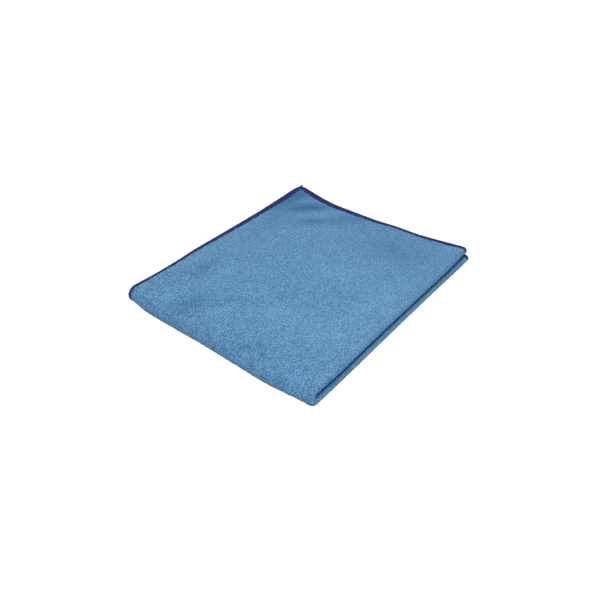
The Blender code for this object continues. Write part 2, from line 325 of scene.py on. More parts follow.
# The one soft light, the white room as it lights the cloth and as the camera sees it, and the
# floor with a glow of its own
KEY_AZIMUTH = 20
KEY_ELEVATION = 56
KEY_DISTANCE = 1.6
KEY_SIZE = 0.6
KEY_POWER = 19.5
ROOM_LIGHT = 0.38
ROOM_SEEN = 1.0
FLOOR_SIZE = 6
FLOOR_DROP = 0.0001
FLOOR_GREY = (0.35, 0.35, 0.35, 1)
FLOOR_GLOW = 0.86
WHITE = (1, 1, 1, 1)

random = np.random.default_rng(12)


# ---------------------------------------------------------------- the folded shape

def stacked(p, q):
    """Fold the flat middle surface twice: x, y and the rise above the lowest layer's middle."""
    fold_angle = np.clip((q - HALF_WIDTH) / FOLD_LENGTH, 0, 1) * np.pi
    past_fold = np.maximum(q - HALF_WIDTH - FOLD_LENGTH, 0)
    x = STACK_LEFT + np.minimum(q, HALF_WIDTH) - past_fold + FOLD_RADIUS * np.sin(fold_angle)
    turn_angle = np.clip((p - HALF_LENGTH) / TURN_LENGTH, 0, 1) * np.pi
    past_turn = np.maximum(p - HALF_LENGTH - TURN_LENGTH, 0)
    turn_radius = TURN_RADIUS + FOLD_RADIUS * np.cos(fold_angle)
    y = STACK_BACK - np.minimum(p, HALF_LENGTH) + past_turn
    y = y - turn_radius * TURN_REACH * np.sin(turn_angle)
    rise = STACK_RISE / 2 + turn_radius * np.cos(turn_angle)
    return x, y, rise


def patch_share(x, y, at_x, at_y, along, across, turn):
    """1 in the middle of a patch whose length is turned from +X, and less away from there."""
    cos_turn = math.cos(math.radians(turn))
    sin_turn = math.sin(math.radians(turn))
    run = (x - at_x) * cos_turn + (y - at_y) * sin_turn
    side = (y - at_y) * cos_turn - (x - at_x) * sin_turn
    return np.exp(-(run / along) ** 2 - (side / across) ** 2)


def settled(x, y, rise):
    """Push the square stack out of true, puff up its folds and let its layers lift and sink."""
    share = rise / STACK_RISE
    shift_x = np.zeros_like(x)
    shift_y = np.zeros_like(y)
    for name, at_x, at_y, reach_x, reach_y, top_dx, top_dy, low_dx, low_dy in PUSHES:
        near = np.exp(-((x - at_x) / reach_x) ** 2 - ((y - at_y) / reach_y) ** 2)
        shift_x += near * (low_dx + (top_dx - low_dx) * share)
        shift_y += near * (low_dy + (top_dy - low_dy) * share)
    lift = np.zeros_like(x)
    for name, at_x, at_y, along, across, turn, height, follow in SWELLS:
        near = patch_share(x, y, at_x, at_y, along, across, turn)
        lift += height * share ** follow * near
    loft = 1 + FRONT_LOFT * np.exp(-((y - STACK_FRONT) / FRONT_LOFT_REACH) ** 2)
    loft += SIDE_LOFT * np.exp(-((x - STACK_RIGHT) / SIDE_LOFT_REACH) ** 2)
    z = THICKNESS / 2 + rise * loft + lift
    return np.stack([x + shift_x - MIDDLE_X, y + shift_y - MIDDLE_Y, z], -1)


def middle(p, q):
    """The place of a point of the cloth's middle surface in the folded stack."""
    return settled(*stacked(p, q))


def axes_at(p, q):
    """The directions of the cloth there: along its length, along its width, and outwards."""
    along = middle(p + NORMAL_STEP, q) - middle(p - NORMAL_STEP, q)
    across = middle(p, q + NORMAL_STEP) - middle(p, q - NORMAL_STEP)
    outward = np.cross(across, -along)
    outward /= np.linalg.norm(outward, axis=-1, keepdims=True)
    along /= np.linalg.norm(along, axis=-1, keepdims=True)
    return along, np.cross(outward, along), outward


def folded(p, q, h):
    """The place of a point that lies h off the cloth's middle, on its outer side where above 0."""
    return middle(p, q) + np.asarray(h)[..., None] * axes_at(p, q)[2]


# ---------------------------------------------------------------- small helpers

def smooth_step(value, start, end):
    """0 before start, 1 past end, and a smooth rise between them."""
    share = np.clip((value - start) / (end - start), 0, 1)
    return share * share * (3 - 2 * share)


def wavy(p, q, shortest, longest, count):
    """An even roughness, mostly between -1.5 and 1.5, with waves of those lengths in all
    directions."""
    total = np.zeros_like(p)
    for _ in range(count):
        length = random.uniform(shortest, longest)
        heading = random.uniform(0, math.tau)
        phase = random.uniform(0, math.tau)
        run = p * math.cos(heading) + q * math.sin(heading)
        total += np.sin(run * math.tau / length + phase)
    return total / math.sqrt(count)


def edging_share(p, q):
    """How wide the edging lies there, as a share of its full width."""
    to_p = np.minimum(p, CLOTH_LENGTH - p)
    to_q = np.minimum(q, CLOTH_WIDTH - q)
    long_side = np.interp(to_p, *np.transpose(LONG_SIDE_WIDTHS))
    short_side = np.interp(to_q, *np.transpose(SHORT_SIDE_WIDTHS))
    return np.where(to_q < to_p, long_side, short_side)


def pile_share(p, q, depth):
    """How much of the pile shows on the outer side of the flat cloth: 1 where the cloth is
    seen, and 0 under the edging and where it lies on itself or on the floor."""
    edging = NEEDLE_DEPTH * edging_share(p, q) + NEEDLE_GAP
    inside = smooth_step(depth, edging, edging + PILE_FADE)
    groove = HALF_WIDTH + FOLD_LENGTH + GROOVE_DEPTH
    out_of_groove = 1 - smooth_step(q, groove, groove + PILE_FADE)
    roll_end = HALF_LENGTH + TURN_LENGTH * ROLL_SHARE
    over_roll = 1 - smooth_step(p, roll_end - PILE_FADE, roll_end)
    strip_start = HALF_WIDTH + FOLD_LENGTH * STRIP_SHARE
    side_strip = smooth_step(q, strip_start, strip_start + PILE_FADE)
    return inside * out_of_groove * np.maximum(over_roll, side_strip)


def nap_and_shade_tone(places):
    """The painted light and shade and the pile's own paler and deeper patches at each place."""
    x = places[..., 0] + MIDDLE_X
    y = places[..., 1] + MIDDLE_Y
    tone = np.zeros_like(x)
    for name, at_x, at_y, along, across, turn, strength in NAP_AND_SHADE:
        tone += strength * patch_share(x, y, at_x, at_y, along, across, turn)
    return tone


def turned_share(outward):
    """How far the cloth is turned away from the light, over its folds: 1 low on the front roll."""
    to_front = smooth_step(-outward[..., 1], *TURNED_RANGE)
    to_front *= 1 - ROLL_EASE * smooth_step(outward[..., 2], *EASED_RANGE)
    return np.maximum(to_front, SIDE_SHADE * smooth_step(outward[..., 0], *TURNED_RANGE))


def under_shade(outward):
    """How much deeper the pile is painted, as shade, where it faces down."""
    return UNDER_SHADE * (1 - smooth_step(outward[..., 2], *UNDER_RANGE))


def groove_share(p, q):
    """How far into the groove between the folded sides a place lies: its share of painted shade."""
    turn = np.clip((p - HALF_LENGTH) / TURN_LENGTH, 0, 1)
    upper_start, upper_end = UPPER_GROOVE
    lower_start, lower_end = LOWER_GROOVE
    start = upper_start + (lower_start - upper_start) * turn
    end = upper_end + (lower_end - upper_end) * turn
    return smooth_step((q - HALF_WIDTH) / FOLD_LENGTH, start, end)


def crispness(places):
    """How much the grain of the pile stands out: 1 at the front, and less further back."""
    return np.interp(places[..., 1], CRISP_RANGE, [1, BACK_CRISPNESS])


def partings(p, q):
    """1 on the thin curved lines where the pile parts into tufts, and 0 away from them."""
    tufts = wavy(p, q, *TUFT_WAVES)
    patchy = wavy(p, q, *PATCH_WAVES)
    return np.exp(-(tufts / PARTING_WIDTH) ** 2) * smooth_step(patchy, *PATCH_RANGE)


def unrolled(run, half, bend_length, stretch):
    """The flat place at a run along the outer side of the cloth, which its bend stretches."""
    return run - np.clip(run - half, 0, bend_length * stretch) * (1 - 1 / stretch)


def mesh_object(name, points, faces, material):
    """A smooth object in the frame from arrays of points and faces."""
    mesh = bpy.data.meshes.new(name)
    mesh.from_pydata(points, [], faces)
    mesh.materials.append(material)
    mesh.shade_smooth()
    item = bpy.data.objects.new(name, mesh)
    bpy.context.scene.collection.objects.link(item)
    return item


def give_values(item, name, values, domain="POINT"):
    """Store one number for each vertex or face corner, for the material to read."""
    attribute = item.data.attributes.new(name, "FLOAT", domain)
    attribute.data.foreach_set("value", np.ascontiguousarray(values, np.float32).ravel())


def turn_shading(piece, outward, share):
    """Shade a piece partly as the cloth under it, as fine fibres that scatter light do."""
    mesh = piece.data
    own = np.empty(len(mesh.vertices) * 3, np.float32)
    mesh.vertex_normals.foreach_get("vector", own)
    turned = own.reshape(-1, 3) * (1 - share) + outward * share
    turned /= np.linalg.norm(turned, axis=1, keepdims=True)
    mesh.normals_split_custom_set_from_vertices(turned.tolist())


def finished(piece):
    """Let a new piece ride with the cloth."""
    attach(piece, "root")
    return piece


# ---------------------------------------------------------------- finishes

class Varying:
    """A shader socket whose value varies over a surface. Arithmetic on it adds Math nodes."""

    def __init__(self, finish, socket):
        self.finish = finish
        self.socket = socket

    def maths(self, operation, first, second):
        return self.finish.node("ShaderNodeMath", {"operation": operation},
                                {0: first, 1: second})

    def __add__(self, other):
        return self.maths("ADD", self, other)

    def __rsub__(self, other):
        return self.maths("SUBTRACT", other, self)

    def __mul__(self, other):
        return self.maths("MULTIPLY", self, other)

    def lesser(self, other):
        return self.maths("MINIMUM", self, other)

    def sine(self):
        return self.maths("SINE", self, 0)

    __radd__ = __add__
    __rmul__ = __mul__


class Finish:
    """One material and the ways in which its nodes are added."""

    def __init__(self, name, constants):
        self.material = bpy.data.materials.new(name)
        self.material.use_nodes = True
        self.tree = self.material.node_tree
        self.shader = self.tree.nodes["Principled BSDF"]
        for socket, value in constants.items():
            self.feed(self.shader.inputs[socket], value)

    def feed(self, socket, value):
        """Give a socket a link where value is Varying, and else a constant."""
        if isinstance(value, Varying):
            self.tree.links.new(value.socket, socket)
        else:
            socket.default_value = value

    def node(self, kind, settings, sockets, output=0):
        """Add a node, set it up, feed its sockets and return one of its outputs."""
        made = self.tree.nodes.new(kind)
        for name, value in settings.items():
            setattr(made, name, value)
        for key, value in sockets.items():
            self.feed(made.inputs[key], value)
        return Varying(self, made.outputs[output])

    def places(self):
        return self.node("ShaderNodeTexCoord", {}, {}, "Object")

    def carried(self, name):
        """A number that the mesh carries for each vertex or face corner."""
        return self.node("ShaderNodeAttribute", {"attribute_name": name}, {}, "Fac")

    def noise(self, scale, detail, roughness=0.5):
        return self.node("ShaderNodeTexNoise", {},
                         {"Vector": self.places(), "Scale": scale, "Detail": detail,
                          "Roughness": roughness})

    def spread(self, value, low, high):
        """value from low to high, stretched to 0 to 1."""
        return self.node("ShaderNodeMapRange", {},
                         {"Value": value, "From Min": low, "From Max": high})

    def mixed(self, share, first, second):
        """A colour between first, where share is 0, and second, where it is 1."""
        return self.node("ShaderNodeMix", {"data_type": "RGBA"},
                         {0: share, 6: first, 7: second}, 2)

    def tinted(self, share, colour, tint):
        """colour where share is 0, and colour times tint where it is 1."""
        return self.node("ShaderNodeMix", {"data_type": "RGBA", "blend_type": "MULTIPLY"},
                         {0: share, 6: colour, 7: tint}, 2)

    def bumped(self, height, distance, strength=1.0):
        normal = self.node("ShaderNodeBump", {},
                           {"Height": height, "Distance": distance, "Strength": strength})
        self.feed(self.shader.inputs["Normal"], normal)


def linear(red, green, blue):
    """A linear colour from the usual 0 to 255."""
    shares = [value / 255 for value in (red, green, blue)]
    return (*[s / 12.92 if s <= 0.04045 else ((s + 0.055) / 1.055) ** 2.4 for s in shares], 1)


# The colours, as matched to the photograph. The tint that deepens what turns away is painted shade
# where the cloth turns from the light, the inner blue painted shade in the groove and on the hidden
# inner side, and the root blue painted shade at the roots of the loops and on the ground between
# them.
INNER_SHADE_BLUE = linear(56, 116, 170)
ROOT_SHADE_BLUE = linear(60, 108, 154)
DEEP_BLUE = linear(100, 151, 196)
PALE_BLUE = linear(152, 204, 237)
SHEEN_BLUE = linear(190, 220, 245)
TURNED_SHADE_TINT = (0.67, 0.665, 0.67, 1)
NAVY = linear(44, 58, 120)
NAVY_LIGHT = linear(62, 70, 146)
NAVY_DARK = linear(28, 36, 84)

# The fine textures of the ground, the pile and the thread: how many of their grains go into a
# metre, how high they stand, and the ranges of noise that are stretched to 0 to 1
LUMP_SCALE = 1300
GRAIN_SCALE = 900
GROUND_BUMP = 0.0005
PATCH_SCALE = 110
FUZZ_SCALE = 6000
FUZZ_BUMP = 0.00006
FIBRE_SCALE = 2500
THREAD_PATCH_SCALE = 120
THREAD_BUMP = 0.00016
SOFT_RANGE = (0.3, 0.7)
SHARP_RANGE = (0.35, 0.65)

# How far the ground and the yarn are on the way to their paler blue, how much their grain or
# patches change that, and how much of the roots' painted shade shows where the pile is painted
# deeper
GRAIN_SHARE = 0.4
LUMP_LEVEL = 0.7
GROUND_CONTRAST = 0.7
GROUND_PALENESS = 0.15
PATCH_CONTRAST = 0.20
YARN_PALENESS = 0.44
ROOT_SHADE_SHARE = 0.8


def ground_finish():
    """The knit ground between the roots of the loops: a deeper blue, painted as the shade under the
    loops, and lumpy like more loops further down."""
    finish = Finish("terry_ground", {"Roughness": 0.95, "Specular IOR Level": 0.1})
    lumps = finish.node("ShaderNodeTexVoronoi", {"feature": "F1"},
                        {"Vector": finish.places(), "Scale": LUMP_SCALE, "Randomness": 0.9},
                        "Distance")
    fine = finish.spread(finish.noise(GRAIN_SCALE, 3), *SHARP_RANGE)
    grain = fine * GRAIN_SHARE + (LUMP_LEVEL - lumps)
    paleness = grain * GROUND_CONTRAST + finish.carried("tone") + GROUND_PALENESS
    colour = finish.mixed(paleness, ROOT_SHADE_BLUE, DEEP_BLUE)
    # painted shade where the cloth turns away from the light
    colour = finish.tinted(finish.carried("turned"), colour, TURNED_SHADE_TINT)
    # painted shade in the groove and on the hidden inner side
    colour = finish.mixed(finish.carried("inside"), colour, INNER_SHADE_BLUE)
    finish.feed(finish.shader.inputs["Base Color"], colour)
    finish.bumped(grain, GROUND_BUMP)
    return finish.material


def pile_finish():
    """The looped yarn: painted darker towards its roots as shade, each loop a little lighter or
    deeper.
    """
    finish = Finish("terry_pile", {"Roughness": 0.9, "Sheen Weight": 0.08, "Sheen Roughness": 0.45,
                                   "Sheen Tint": SHEEN_BLUE, "Specular IOR Level": 0.15})
    patches = finish.spread(finish.noise(PATCH_SCALE, 3, 0.7), *SOFT_RANGE)
    tone = finish.carried("tone")
    yarn = finish.carried("shade") + patches * PATCH_CONTRAST + tone + YARN_PALENESS
    colour = finish.mixed(finish.carried("tip") + tone.lesser(0) * ROOT_SHADE_SHARE, ROOT_SHADE_BLUE,
                          finish.mixed(yarn, DEEP_BLUE, PALE_BLUE))
    # painted shade where the cloth turns away from the light
    colour = finish.tinted(finish.carried("turned"), colour, TURNED_SHADE_TINT)
    # painted shade in the groove
    colour = finish.mixed(finish.carried("inside"), colour, INNER_SHADE_BLUE)
    finish.feed(finish.shader.inputs["Base Color"], colour)
    finish.bumped(finish.noise(FUZZ_SCALE, 2), FUZZ_BUMP, 0.3)
    return finish.material


def thread_finish():
    """Navy overlock thread with a faint purple cast, fuzzy and slightly glossy."""
    finish = Finish("overlock_thread", {"Sheen Weight": 0.06, "Sheen Roughness": 0.4,
                                        "Specular IOR Level": 0.25})
    fibres = finish.spread(finish.noise(FIBRE_SCALE, 3), *SOFT_RANGE)
    patches = finish.spread(finish.noise(THREAD_PATCH_SCALE, 1), *SHARP_RANGE)
    colour = finish.mixed(fibres, NAVY_DARK, NAVY)
    colour = finish.mixed(patches * 0.5 * fibres, colour, NAVY_LIGHT)
    finish.feed(finish.shader.inputs["Base Color"], colour)
    finish.feed(finish.shader.inputs["Roughness"], 0.55 + fibres * 0.25)
    threads = (finish.carried("wound") * math.tau).sine()
    finish.bumped(fibres * 0.5 + threads * 0.5, THREAD_BUMP, 0.8)
    return finish.material


# ---------------------------------------------------------------- the ground of the cloth

def run_of(start, end, spacing):
    """Places from start up to end, without end, evenly and about spacing apart."""
    count = max(round((end - start) / spacing), 1)
    return [start + (end - start) * i / count for i in range(count)]


def places_along(size, half, bend_length):
    """Where the ground is sampled along one side: its rims, the top half, a bend and under it."""
    places = [0.0, RIM_WIDTH / 2, RIM_WIDTH, RIM_WIDTH + SWELL_WIDTH / 2]
    places += run_of(RIM_WIDTH + SWELL_WIDTH, half, SEEN_SPACING)
    places += run_of(half, half + bend_length, bend_length / BEND_STEPS)
    places += run_of(half + bend_length, half + bend_length + GROOVE_REACH,
                     GROOVE_REACH / GROOVE_STEPS)
    places += run_of(half + bend_length + GROOVE_REACH, size - RIM_WIDTH, HIDDEN_SPACING)
    return places + [size - RIM_WIDTH, size - RIM_WIDTH / 2, size]


def rounded(p, q):
    """Round the flat cloth's corners, and say how deep inside its edge each point lies."""
    core_p = np.clip(p, CORNER_RADIUS, CLOTH_LENGTH - CORNER_RADIUS)
    core_q = np.clip(q, CORNER_RADIUS, CLOTH_WIDTH - CORNER_RADIUS)
    reach = np.maximum(abs(p - core_p), abs(q - core_q))
    length = np.hypot(p - core_p, q - core_q)
    scale = np.divide(reach, length, out=np.ones_like(reach), where=length > 0)
    scale += (1 - scale) * CORNER_SQUARENESS
    to_edge = [p, CLOTH_LENGTH - p, q, CLOTH_WIDTH - q]
    return core_p + (p - core_p) * scale, core_q + (q - core_q) * scale, np.min(to_edge, axis=0)


def ground_height(p, q, depth):
    """How far the cloth reaches off its middle, squeezed by the edging and swelling out beside
    it, and how far its ground does, under the pile."""
    edging = NEEDLE_DEPTH * edging_share(p, q)
    swollen = smooth_step(depth, edging, edging + SWELL_WIDTH)
    full = (RIM_THICKNESS + (THICKNESS - RIM_THICKNESS) * swollen) / 2
    return full, np.minimum(full, THICKNESS / 2 - PILE_DEPTH * pile_share(p, q, depth))


def make_ground():
    """The cloth as one closed sheet: its outer and inner sides, joined round the rim."""
    p, q = np.meshgrid(places_along(CLOTH_LENGTH, HALF_LENGTH, TURN_LENGTH),
                       places_along(CLOTH_WIDTH, HALF_WIDTH, FOLD_LENGTH), indexing="ij")
    p, q, depth = rounded(p, q)
    full, height = ground_height(p, q, depth)
    relief = wavy(p, q, *RELIEF_WAVES) * GROUND_RELIEF * pile_share(p, q, depth)
    outer = folded(p, q, height + relief)
    inner = folded(p, q, -full)
    rows, columns = p.shape
    index = np.arange(rows * columns).reshape(rows, columns)
    cells = np.stack([index[:-1, :-1], index[:-1, 1:], index[1:, 1:], index[1:, :-1]], -1)
    cells = cells.reshape(-1, 4)
    rim = np.concatenate([index[0, :-1], index[:-1, -1], index[-1, :0:-1], index[:0:-1, 0]])
    rim_next = np.roll(rim, -1)
    other = rows * columns
    walls = np.stack([rim, rim_next, rim_next + other, rim + other], -1)
    faces = np.concatenate([cells[:, ::-1], cells + other, walls])
    points = np.concatenate([outer.reshape(-1, 3), inner.reshape(-1, 3)])
    ground = mesh_object("terry_cloth", points, faces, ground_finish())
    outward = axes_at(p, q)[2]
    # painted shade where the cloth faces down and on the ground between the loops, less at the back
    deeper = under_shade(outward) + GROUND_SHADE_TONE
    deeper += (BACK_GROUND_SHADE_TONE - GROUND_SHADE_TONE) * (1 - crispness(outer))
    give_values(ground, "tone", nap_and_shade_tone(points) + np.tile(deeper.ravel(), 2))
    give_values(ground, "turned", np.tile(turned_share(outward).ravel(), 2))
    # the groove's painted shade on the outer side, and painted shade all over the hidden inner side
    give_values(ground, "inside", np.stack([groove_share(p, q), np.ones_like(q)]))
    return finished(ground)


# ---------------------------------------------------------------- the pile

def pile_loop():
    """One loop of yarn, standing on its two roots at the origin: half of a small ring, without
    the faces on its inner side, which don't show."""
    bpy.ops.object.select_all(action="DESELECT")
    bpy.ops.mesh.primitive_torus_add(major_segments=LOOP_SEGMENTS, minor_segments=YARN_SIDES,
                                     major_radius=LOOP_SPAN / 2, minor_radius=YARN_RADIUS,
                                     rotation=(math.pi / 2, 0, 0))
    bpy.ops.object.transform_apply(rotation=True)
    loop = bpy.context.object
    bpy.ops.object.mode_set(mode="EDIT")
    bpy.ops.mesh.select_all(action="SELECT")
    bpy.ops.mesh.bisect(plane_co=(0, 0, 0), plane_no=(0, 0, 1), clear_inner=True)
    bpy.ops.mesh.select_all(action="SELECT")
    bpy.ops.transform.resize(value=(1, 1, LOOP_HEIGHT / (LOOP_SPAN / 2 + YARN_RADIUS)),
                             center_override=(0, 0, 0))
    bpy.ops.object.mode_set(mode="OBJECT")
    shell = bmesh.new()
    shell.from_mesh(loop.data)
    inner = [face for face in shell.faces if face.normal.dot(face.calc_center_median()) < 0]
    bmesh.ops.delete(shell, geom=inner, context="FACES")
    shell.to_mesh(loop.data)
    shell.free()
    return loop


def loop_places():
    """Where the loops stand on the flat cloth: an even field, each a little off its place."""
    longest = CLOTH_LENGTH + TURN_LENGTH * (TURN_STRETCH - 1)
    widest = HALF_WIDTH + FOLD_LENGTH * FOLD_STRETCH + GROOVE_REACH
    p, q = np.meshgrid(np.arange(LOOP_PITCH, longest, LOOP_PITCH),
                       np.arange(LOOP_PITCH, widest, LOOP_PITCH), indexing="ij")
    q[1::2] += LOOP_PITCH / 2
    p = (p + random.uniform(-LOOP_WANDER, LOOP_WANDER, p.shape) * LOOP_PITCH).ravel()
    q = (q + random.uniform(-LOOP_WANDER, LOOP_WANDER, q.shape) * LOOP_PITCH).ravel()
    p = unrolled(p, HALF_LENGTH, TURN_LENGTH, TURN_STRETCH)
    q = unrolled(q, HALF_WIDTH, FOLD_LENGTH, FOLD_STRETCH)
    p, q, depth = rounded(p, q)
    shown = pile_share(p, q, depth) > random.uniform(*THINNING, p.shape)
    return p[shown], q[shown], depth[shown]


def make_pile(material):
    """The pile: every loop is a copy of one, spun, leaned and sized at random."""
    seed = pile_loop()
    shape = np.array([vert.co for vert in seed.data.vertices])
    quads = np.array([face.vertices for face in seed.data.polygons])
    bpy.data.objects.remove(seed, do_unlink=True)
    p, q, depth = loop_places()
    along, across, outward = axes_at(p, q)
    count = len(p)
    spin = random.uniform(0, math.tau, (count, 1))
    lean = random.uniform(*LOOP_LEANS, (count, 1))
    size = random.uniform(*LOOP_SIZES, (count, 1))
    width = size * random.uniform(*LOOP_WIDTHS, (count, 1))
    height = size * random.uniform(*LOOP_HEIGHTS, (count, 1))
    unpressed = smooth_step(outward[:, 2:], *PRESSED_RANGE)
    height *= PRESSED_HEIGHT + (1 - PRESSED_HEIGHT) * unpressed
    parting = partings(p, q)
    height *= 1 + (PARTING_HEIGHT - 1) * (parting * crispness(middle(p, q)))[:, None]
    span = along * np.cos(spin) + across * np.sin(spin)
    level = across * np.cos(spin) - along * np.sin(spin)
    up = outward * np.cos(lean) + level * np.sin(lean)
    side = np.cross(up, span)
    unevenness = wavy(p, q, *RELIEF_WAVES) * GROUND_RELIEF
    origins = folded(p, q, ground_height(p, q, depth)[1] - LOOP_SINK + unevenness)
    frames = np.stack([span * width, side * size, up * height], -1)
    placed = origins[:, None] + np.einsum("nij,vj->nvi", frames, shape)
    above_floor = placed[:, :, 2].min(1) > FLOOR_CLEARANCE
    placed = placed[above_floor]
    outward = outward[above_floor]
    origins = origins[above_floor]
    crisp = crispness(origins)
    looks = {
        "shade": (1 / 3 - random.uniform(0, 1, len(origins)) ** 2) * YARN_CONTRAST * crisp,
        # painted light and shade of the patches, and painted shade where the cloth faces down and
        # in partings
        "tone": (nap_and_shade_tone(origins) + under_shade(outward)
                 + PARTING_SHADE * parting[above_floor] * crisp),
        # painted shade in the groove
        "inside": groove_share(p[above_floor], q[above_floor]),
        "turned": turned_share(outward),
    }
    scatter = BACK_SCATTER + (FRONT_SCATTER - BACK_SCATTER) * crisp
    # painted shade at the roots of the loops, less further back
    tip = smooth_step(shape[:, 2], 0, LOOP_HEIGHT * TIP_SHARE)
    pieces = []
    for number, part in enumerate(np.array_split(np.arange(len(placed)), PILE_PARTS)):
        first_corner = len(shape) * np.arange(len(part))[:, None, None]
        faces = (quads[None] + first_corner).reshape(-1, 4)
        piece = mesh_object(f"pile_{number + 1}", placed[part].reshape(-1, 3), faces, material)
        for name, values in looks.items():
            give_values(piece, name, np.repeat(values[part], len(shape)))
        give_values(piece, "tip", 1 - (1 - tip) * crisp[part, None])
        turn_shading(piece, np.repeat(outward[part], len(shape), axis=0),
                     np.repeat(scatter[part, None], len(shape), axis=0))
        pieces.append(finished(piece))
    return pieces


# ---------------------------------------------------------------- the overlocked edge

def edge_knots():
    """Round the flat cloth once: the run so far, the core point and the way out, at each end
    of each straight side."""
    inner_p = (CORNER_RADIUS, CLOTH_LENGTH - CORNER_RADIUS)
    inner_q = (CORNER_RADIUS, CLOTH_WIDTH - CORNER_RADIUS)
    ends = [(inner_p[0], inner_q[0]), (inner_p[0], inner_q[1]),
            (inner_p[1], inner_q[1]), (inner_p[1], inner_q[0])]
    knots = []
    run = 0.0
    for side in range(4):
        start = ends[side]
        end = ends[(side + 1) % 4]
        angle = math.pi - side * math.pi / 2
        knots.append((run, *start, angle))
        run += math.dist(start, end)
        knots.append((run, *end, angle))
        run += CORNER_RADIUS * math.pi / 2
    knots.append((run, *ends[0], -math.pi))
    return np.array(knots).T


KNOT_RUN, KNOT_P, KNOT_Q, KNOT_ANGLE = edge_knots()
EDGE_LENGTH = KNOT_RUN[-1]


def at_edge(run, depth, height):
    """The place of a point of the edging: run along the edge, depth inside it, height off the
    cloth's middle."""
    run = np.mod(run, EDGE_LENGTH)
    angle = np.interp(run, KNOT_RUN, KNOT_ANGLE)
    core_p = np.interp(run, KNOT_RUN, KNOT_P)
    core_q = np.interp(run, KNOT_RUN, KNOT_Q)
    depth = np.where(depth > 0, depth * edging_share(core_p, core_q), depth)
    square = 1 / np.maximum(abs(np.cos(angle)), abs(np.sin(angle)))
    reach = (CORNER_RADIUS - depth) * (1 + (square - 1) * CORNER_SQUARENESS)
    return folded(core_p + reach * np.cos(angle), core_q + reach * np.sin(angle), height)


def make_rope(name, radius, points, closed, material):
    """One thread along points, as a thin tube that keeps off the floor."""
    points[:, 2] = np.maximum(points[:, 2], radius + FLOOR_CLEARANCE)
    curve = bpy.data.curves.new(name, "CURVE")
    curve.dimensions = "3D"
    curve.bevel_depth = radius
    curve.bevel_resolution = 0
    curve.use_fill_caps = not closed
    spline = curve.splines.new("POLY")
    spline.points.add(len(points) - 1)
    spline.points.foreach_set("co", np.column_stack([points, np.ones(len(points))]).ravel())
    spline.use_cyclic_u = closed
    rope = bpy.data.objects.new(name + "_line", curve)
    bpy.context.scene.collection.objects.link(rope)
    mesh = bpy.data.meshes.new_from_object(rope.evaluated_get(
        bpy.context.evaluated_depsgraph_get()))
    bpy.data.objects.remove(rope, do_unlink=True)
    mesh.name = name
    mesh.materials.clear()
    mesh.materials.append(material)
    mesh.shade_smooth()
    thread = bpy.data.objects.new(name, mesh)
    bpy.context.scene.collection.objects.link(thread)
    return finished(thread)


def make_thread(name, radius, stitch_shape, material):
    """One thread sewn right round the cloth. stitch_shape has a row for each point of one
    stitch: its share of the stitch, its depth inside the edge and its height."""
    stitches = round(EDGE_LENGTH / STITCH)
    shares, depths, heights = np.array(stitch_shape).T
    run = (np.arange(stitches)[:, None] + shares).ravel() * EDGE_LENGTH / stitches
    depth = np.tile(depths, stitches)
    height = np.tile(heights, stitches)
    wander = random.uniform(-1, 1, (3, len(run)))
    run = run + wander[0] * STITCH * RUN_WANDER
    depth = depth + wander[1] * DEPTH_WANDER
    height = height + wander[2] * HEIGHT_WANDER
    return make_rope(name, radius, at_edge(run, depth, height), True, material)


def make_thread_end(material):
    """The cut end of the overlock chain, which stands off the corner at the back."""
    corner = EDGE_LENGTH - CORNER_RADIUS * math.pi / 4
    run, depth, height = np.array([
        # run,    depth,   height
        (-0.0004,  0.0008, 0.0010),
        (0.0006,   0.0000, 0.0011),
        (0.0014,  -0.0006, 0.0013),
        (0.0017,  -0.0010, 0.0016),
    ]).T
    points = at_edge(corner + run, depth, height)
    return make_rope("thread_end", END_RADIUS, points, False, material)


def make_edging(material):
    """The overlock stitches: the looper threads over and under the band, the chain along the
    edge, the needle's straight line and the cut end of the thread."""
    top = BAND_HEIGHT + THREAD_RADIUS * THREAD_RISE
    zigzag = [
        # share, depth,               height
        (0.00,   NEEDLE_DEPTH,        top - 0.00025),
        (0.10,   NEEDLE_DEPTH * 0.70, top + 0.00006),
        (0.35,   NEEDLE_DEPTH * 0.25, top + 0.00004),
        (0.50,   -0.00050,            top * 0.45),
        (0.65,   NEEDLE_DEPTH * 0.25, top + 0.00004),
        (0.90,   NEEDLE_DEPTH * 0.70, top + 0.00006),
    ]
    under = [(share + 0.5, depth, -height) for share, depth, height in zigzag]
    chain = [
        # share, depth,    height
        (0.00,   -0.00060,  0.00022),
        (0.25,   -0.00078,  0.00000),
        (0.50,   -0.00060, -0.00022),
        (0.75,   -0.00050,  0.00000),
    ]
    needle = [
        # share, depth,                 height
        (0.00,   NEEDLE_DEPTH + 0.0002, top - 0.00030),
        (0.25,   NEEDLE_DEPTH + 0.0002, top + 0.00008),
        (0.75,   NEEDLE_DEPTH + 0.0002, top + 0.00008),
    ]
    return [
        make_thread("looper_over", THREAD_RADIUS, zigzag, material),
        make_thread("looper_under", THREAD_RADIUS, under, material),
        make_thread("edge_chain", CHAIN_RADIUS, chain, material),
        make_thread("needle_line", NEEDLE_RADIUS, needle, material),
        make_thread_end(material),
    ]


def band_stations():
    """The runs along the edge where the band is drawn: close together in the cloth's bends."""
    stations = []
    for number, (start, end) in enumerate(zip(KNOT_RUN[:-1], KNOT_RUN[1:])):
        if number % 2:
            stations += run_of(start, end, (end - start) / CORNER_STEPS)
            continue
        wide = number % 4 == 0
        half, bend = (HALF_WIDTH, FOLD_LENGTH) if wide else (HALF_LENGTH, TURN_LENGTH)
        backwards = number >= 4
        if backwards:
            bend_start = end - (half - CORNER_RADIUS) - bend
        else:
            bend_start = start + half - CORNER_RADIUS
        stations += run_of(start, bend_start, BAND_SPACING)
        stations += run_of(bend_start, bend_start + bend, bend / BAND_BEND_STEPS)
        stations += run_of(bend_start + bend, end, BAND_SPACING)
    return stations


